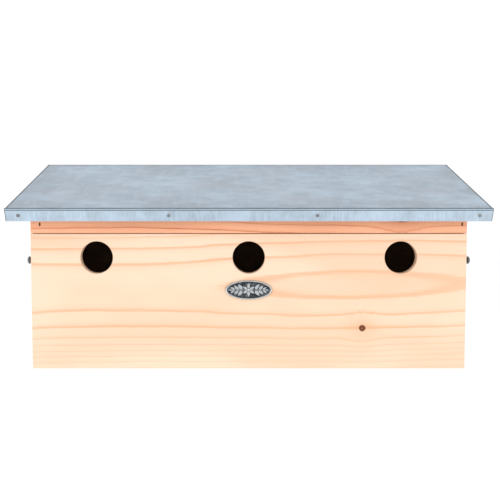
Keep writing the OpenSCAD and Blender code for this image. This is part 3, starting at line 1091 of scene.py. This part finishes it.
@dataclass
class Badge:
    """The oval cast plaque: a rounded rim round a dark field with a blossom between two sprigs.

    Attributes:
        centre: The middle of its back, in metres.
        size: Its length and height, in metres.
        plate: Thickness of its field, in metres.
        rim: Height and width of its rim, in metres.
        leaf: Length and width of its largest leaf, in metres.
        domed: How high a leaf stands and how deep its groove is, in metres.
        pairs: Pairs of leaves on each sprig.
        first_pair: Distance of the first pair from the badge's middle, in metres.
        pair_step: Distance from pair to pair, in metres.
        tip: Distance of the single leaf at the sprig's end from the middle, in metres.
        petals: Petals of the blossom.
        stalk: Radius and length of the stem, in metres.
        heart: Radius of the blossom's heart, in metres.
        around: Sides of its outline.
    """

    centre: Vector
    size: tuple[float, float]
    plate: float = 0.0009
    rim: tuple[float, float] = (0.0009, 0.0013)
    leaf: tuple[float, float] = (0.0084, 0.0047)
    domed: tuple[float, float] = (0.00075, 0.00028)
    pairs: int = 3
    first_pair: float = 0.0064
    pair_step: float = 0.0041
    tip: float = 0.0172
    petals: int = 6
    stalk: tuple[float, float] = (0.00034, 0.033)
    heart: float = 0.0013
    around: int = 96

    def build(self) -> None:
        """Builds the plaque with its rim, leaves, stem and blossom, joined as one casting."""
        parts = [self.dish(), self.stem(), self.berry()]
        parts += [self.one_leaf(*where) for where in self.leaf_places() + self.petal_places()]
        Bench.clear()
        for part in parts:
            part.select_set(True)
        bpy.context.view_layer.objects.active = parts[0]
        bpy.ops.object.join()
        badge = Bench.name("badge_cast")
        Bench.edit(badge)
        Bench.everything()
        bpy.ops.transform.translate(value=self.centre)
        Bench.close()
        Bench.settle(badge, 50.0)
        highest = self.centre.y - self.plate - self.rim[0]
        Bench.dress(badge, CastBadge(self.centre.y - self.plate * 0.8, highest).make())
        Bench.hand_over(badge, "front", "badge_metal", "badge")

    def dish(self) -> bpy.types.Object:
        """Turns an oval disc into a plate with a raised, rounded rim.

        Returns:
            The plate, its back in the XZ plane at the origin.
        """
        Bench.clear()
        bpy.ops.mesh.primitive_circle_add(vertices=self.around, radius=0.5, fill_type="NGON")
        dish = Bench.name("badge_dish")
        dish.rotation_euler = (math.radians(90.0), 0.0, 0.0)
        dish.scale = (self.size[0], self.size[1], 1.0)
        bpy.ops.object.transform_apply(location=True, rotation=True, scale=True)
        Bench.edit(dish)
        high, wide = self.rim
        Bench.everything()
        Bench.extrude((0.0, -self.plate - high * 0.2, 0.0))

        # Each step goes inwards and upwards by a share of the rim's width and height.
        rounding = ((0.25, 0.5), (0.20, 0.2), (0.25, -0.1), (0.30, -0.7), (0.50, -0.1))
        for inwards, upwards in rounding:
            bpy.ops.mesh.inset(thickness=wide * inwards, depth=high * upwards)
        Bench.close(outwards=True)
        return dish

    def leaf_places(self) -> list[tuple[float, float, float, float]]:
        """Sets out the leaves of both sprigs, the same on both sides of the middle.

        Returns:
            The X, Z, angle and size of each leaf.
        """
        places = []
        for side in (-1, 1):
            for step in range(self.pairs):
                x = side * (self.first_pair + self.pair_step * step)
                lean = math.radians(50.0 - 9.0 * step)
                for up in (-1, 1):
                    turn = up * lean if side > 0 else math.pi - up * lean
                    places.append((x, up * 0.0003, turn, 1.0 - 0.17 * step))
            places.append((side * self.tip, 0.0, 0.0 if side > 0 else math.pi, 0.50))
        return places

    def petal_places(self) -> list[tuple[float, float, float, float]]:
        """Sets out the petals of the blossom in the middle.

        Returns:
            The X, Z, angle and size of each petal.
        """
        turns = [math.radians(90.0 + 360.0 / self.petals * number) for number in range(self.petals)]
        out = 0.0009
        return [(math.cos(turn) * out, math.sin(turn) * out, turn, 0.80) for turn in turns]

    def one_leaf(self, x: float, z: float, turn: float, size: float) -> bpy.types.Object:
        """Shapes a grid into a domed, pointed leaf with a groove down its middle.

        Args:
            x: Where its stalk is, along the badge.
            z: Where its stalk is, up the badge.
            turn: The angle from +X that it points to, in radians.
            size: Its size against the largest leaf.

        Returns:
            The leaf.
        """
        Bench.clear()
        bpy.ops.mesh.primitive_grid_add(x_subdivisions=14, y_subdivisions=8, size=1.0)
        leaf = Bench.name("badge_leaf")
        long, wide = (value * size for value in self.leaf)
        base, blunt, groove_width = -self.plate * 0.72, 0.00003, 0.16
        for vert in leaf.data.vertices:
            # Share runs from the stalk to the tip, and off from edge to edge, both over the grid.
            share, off = vert.co.x + 0.5, vert.co.y * 2.0
            swell = math.sin(math.pi * share ** 0.8)
            half = wide / 2 * swell ** 0.85 + blunt
            dome = self.domed[0] * (1.0 - off * off) * swell ** 0.5
            groove = self.domed[1] * math.exp(-((off / groove_width) ** 2)) * swell
            along, over = long * share, half * off
            vert.co = Vector((
                x + along * math.cos(turn) - over * math.sin(turn),
                base - dome + groove,
                z + along * math.sin(turn) + over * math.cos(turn),
            ))
        self.close_behind(leaf, base)
        return leaf

    @staticmethod
    def close_behind(piece: bpy.types.Object, base: float) -> None:
        """Extrudes a shell's open edge back into the plate and closes it.

        Args:
            piece: An open shell that looks to the front.
            base: Y of its open edge, in metres.
        """
        Bench.edit(piece)
        Bench.pick_edges(piece, lambda edge: edge.is_boundary)
        Bench.extrude((0.0, -base * 0.4, 0.0))
        bpy.ops.mesh.edge_face_add()
        Bench.close(outwards=True)

    def stem(self) -> bpy.types.Object:
        """Draws the sprig's stem as a thin rounded bar along the badge.

        Returns:
            The stem.
        """
        Bench.clear()
        radius, length = self.stalk
        lying = (0.0, math.radians(90.0), 0.0)
        bpy.ops.mesh.primitive_cylinder_add(vertices=12, radius=radius, depth=length, rotation=lying)
        stem = Bench.name("badge_stem")
        bpy.ops.object.transform_apply(location=True, rotation=True, scale=True)
        Bench.edit(stem)
        Bench.everything()
        bpy.ops.mesh.bisect(plane_co=(0.0, 0.0, 0.0), plane_no=(1.0, 0.0, 0.0))
        Bench.everything()
        bpy.ops.transform.resize(value=(1.0, 1.5, 1.0), center_override=(0.0, 0.0, 0.0))
        bpy.ops.transform.translate(value=(0.0, -self.plate * 0.9, 0.0))
        Bench.close()
        return stem

    def berry(self) -> bpy.types.Object:
        """Adds the blossom's heart, a flattened ball half sunk in the petals.

        Returns:
            The heart.
        """
        Bench.clear()
        bpy.ops.mesh.primitive_uv_sphere_add(segments=20, ring_count=12, radius=self.heart)
        berry = Bench.name("badge_berry")
        berry.location = (0.0, -self.plate * 0.9, 0.0)
        berry.scale = (1.0, 0.7, 1.0)
        bpy.ops.object.transform_apply(location=True, rotation=True, scale=True)
        return berry


# ---------------------------------------------------------------- hardware


@dataclass
class Hardware:
    """The screws, nails, hooks and plates, each copied from the frame, shaded smooth and dressed, the
    hooks and plates also eased.

    Attributes:
        screw: The finish of the screws.
        nail: The finish of the nails.
        plate: The finish of the hooks and the hanger plates.
        brad: The finish of the two rusty brads in the rail.
        ease: Width of the eased edges of flat plates, in metres.
    """

    screw: PlatedSteel = PlatedSteel("zinc_plated_screw", (0.21, 0.215, 0.22), (0.11, 0.115, 0.12), 0.30)
    nail: PlatedSteel = PlatedSteel("bright_nail", (0.26, 0.27, 0.28), (0.12, 0.12, 0.125), 0.36)
    plate: PlatedSteel = PlatedSteel("galvanised_plate", (0.62, 0.65, 0.68), (0.47, 0.50, 0.53), 0.30)
    brad: PlatedSteel = PlatedSteel("rusty_brad", (0.19, 0.080, 0.040), (0.090, 0.034, 0.018), 0.50)
    ease: float = 0.00022

    def build(self, nodes: dict[str, bpy.types.Object], subparts: list[dict[str, Any]]) -> None:
        """Copies and dresses each metal node by the record's slot that it is in.

        Args:
            nodes: The frame's nodes by name.
            subparts: The record's list of nodes, each with its slot.
        """
        made = {finish.name: finish.make() for finish in (self.screw, self.nail, self.plate)}
        rusty = self.brad.make()
        for part in subparts:
            name, slot = part["node"], part["material_slot"]
            if slot not in made:
                continue
            piece = Bench.copy_node(nodes[name], name + "_steel")
            if slot == self.plate.name:
                Bench.pick_edges(piece, self.is_arris)
                Bench.bevel(self.ease, 2)
            Bench.close()
            Bench.settle(piece, 38.0)
            Bench.dress(piece, rusty if name == "rail_brads" else made[slot])
            Bench.hand_over(piece, nodes[name]["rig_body"], slot, name)

    @staticmethod
    def is_arris(edge: bmesh.types.BMEdge) -> bool:
        """Says whether an edge of a flat plate is a sharp one."""
        return len(edge.link_faces) == 2 and edge.calc_face_angle() > math.radians(60.0)


# ---------------------------------------------------------------- studio


@dataclass
class Studio:
    """The pale floor, the soft lights and the camera.

    Attributes:
        lens: Focal length, in millimetres on a 36 mm sensor.
        eye: The camera's place, in metres.
        pitch: How far the camera looks down, in radians.
        shift: How far the picture is shifted sideways, as a share of its width.
        floor_z: The floor's height below the hanging box, in metres.
        softbox: Place of the right soft box, in metres; the left one mirrors it.
        softbox_size: Side of a soft box, in metres.
        softbox_power: Power of a soft box, in watts.
        room: Brightness of the white surroundings.
    """

    lens: float = 62.45
    eye: tuple[float, float, float] = (-0.0073, -0.9899, 0.1931)
    pitch: float = math.radians(4.204)
    shift: float = 0.0165
    floor_z: float = -0.30
    softbox: tuple[float, float, float] = (2.0, -1.7, 0.52)
    softbox_size: float = 0.9
    softbox_power: float = 12.0
    room: float = 1.04

    def camera(self) -> None:
        """Adds the camera and makes it the scene's own."""
        Bench.clear()
        turn = (math.radians(90.0) - self.pitch, 0.0, 0.0)
        bpy.ops.object.camera_add(location=self.eye, rotation=turn)
        camera = bpy.context.object
        camera.name = "camera"
        camera.data.lens = self.lens
        camera.data.sensor_width = 36.0
        camera.data.shift_x = self.shift
        bpy.context.scene.camera = camera

    def lamp(self, name: str, place: Vector) -> None:
        """Adds a square soft box that looks at the middle of the nest box.

        Args:
            name: The lamp's name.
            place: Where it hangs, in metres.
        """
        Bench.clear()
        turn = (Vector((0.0, 0.0, 0.1)) - place).to_track_quat("-Z", "Y").to_euler()
        bpy.ops.object.light_add(type="AREA", location=place, rotation=turn)
        lamp = bpy.context.object
        lamp.name = name
        lamp.data.name = name
        lamp.data.size = self.softbox_size
        lamp.data.energy = self.softbox_power

    def lights(self) -> None:
        """Adds the lamps and the white surroundings."""
        x, y, z = self.softbox
        self.lamp("left_softbox", Vector((-x, y, z)))
        self.lamp("right_softbox", Vector((x, y, z)))
        world = bpy.data.worlds.new("white_room")
        world.use_nodes = True
        background = world.node_tree.nodes["Background"]
        background.inputs["Color"].default_value = (1.0, 1.0, 1.0, 1.0)
        background.inputs["Strength"].default_value = self.room
        bpy.context.scene.world = world
        bpy.context.scene.view_settings.view_transform = "Standard"

    def floor(self) -> None:
        """Lays the floor well below the hanging box."""
        Bench.clear()
        bpy.ops.mesh.primitive_plane_add(size=12.0, location=(0.0, 0.0, self.floor_z))
        floor = Bench.name("studio_floor")
        Bench.settle(floor)
        Bench.dress(floor, StudioFloor().make())


# ---------------------------------------------------------------- the whole box


def brad_hole_shades() -> tuple[BradHoleShade, ...]:
    """Places the painted shade of the punched holes round the two brads in the rail.

    Returns:
        The painted shade of each brad's hole.
    """
    low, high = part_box("rail_brads")
    radius, above = 0.0007, 0.0003
    height = (low.z + high.z) / 2 + above
    return tuple(BradHoleShade(x, height) for x in (low.x + radius, high.x - radius))


def fronts() -> list[Board]:
    """Describes the boards that show from the front.

    Returns:
        The fold-down panel and the rail above it.
    """
    panel_rings = Rings(
        (0.0884, 0.0376), first=0.12153, lean=0.012,
        sweep=(0.00095, 0.52), sweep_from=-0.02, fading=0.085,
    )
    knot = Knot(along=0.1198, across=0.0437, radius=0.0036)
    panel = Pine("pine_front", Grain.ALONG_X, panel_rings, 3.0, lines=1.30, knot=knot)
    # The rail's first summer-wood line lies near its top edge, where its dark band is partly grain and
    # partly painted shade under the roof's lip.
    rail_rings = Rings((0.196, 0.02), first=0.11161, lean=-0.008)
    swirl = Knot(along=0.160, across=0.1606, radius=0.0052)
    rail = Pine(
        "pine_rail", Grain.ALONG_X, rail_rings, 21.3,
        early=(0.97, 0.500, 0.308), warm=(0.86, 0.430, 0.260), late=(0.50, 0.150, 0.055),
        lines=1.00, knot=swirl, hole_shades=brad_hole_shades(),
    )
    return [
        FrontPanel("front_panel", "front", panel, "pine_front"),
        Board("top_rail", "box", rail, "pine_rail", shortest=0.006),
    ]


def uprights(side: str, number: int) -> list[Board]:
    """Describes the upright boards of one side.

    Args:
        side: The side's name.
        number: 0 for the left side and 1 for the right one.

    Returns:
        Its wall, its partition and its batten.
    """
    wall_rings = Rings((0.01 + 0.02 * number, 0.11 * (2 * number - 1)))
    wall = Pine("pine_wall_" + side, Grain.ALONG_Z, wall_rings, 5.0 + number)
    part = Pine("pine_partition_" + side, Grain.ALONG_Z, Rings((0.0, 0.25)), 8.0 + number)
    batten = Pine("pine_batten_" + side, Grain.ALONG_Z, Rings((-0.02, 0.27)), 11.0 + number)
    return [
        Board("side_wall_" + side, "box", wall, "pine_boards"),
        Board("partition_" + side, "box", part, "pine_boards"),
        Board("front_batten_" + side, "front", batten, "pine_front", shortest=0.006),
    ]


def boards() -> list[Board]:
    """Lists every board with its finish.

    Returns:
        The boards, front first.
    """
    back = Pine("pine_back", Grain.ALONG_X, Rings((0.12, 0.0), lean=0.02), 14.0)
    base = Pine("pine_floor", Grain.LYING_X, Rings((0.03, 0.11), lean=0.02), 16.0)
    roof = Pine("pine_roof", Grain.LYING_X, Rings((-0.02, 0.07)), 18.0)
    wide = {"back_panel": back, "floor_panel": base, "roof_board": roof}
    result = fronts() + uprights("left", 0) + uprights("right", 1)
    result += [Board(name, "box", pine, "pine_boards", shortest=0.006) for name, pine in wide.items()]
    return result


def main() -> None:
    """Builds the nest box round its frame."""
    logging.basicConfig(level=logging.INFO, format="%(name)s: %(message)s")
    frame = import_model()
    nodes = frame["nodes"]
    Bench.clear()

    studio = Studio()
    studio.camera()
    studio.lights()
    studio.floor()
    for board in boards():
        board.build(nodes)
    Hardware().build(nodes, frame["record"]["subparts"])
    ZincRoof().build()
    low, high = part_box("badge")
    centre = Vector(((low.x + high.x) / 2, high.y, (low.z + high.z) / 2))
    Badge(centre, (high.x - low.x, high.z - low.z)).build()


if __name__ == "__main__":
    main()
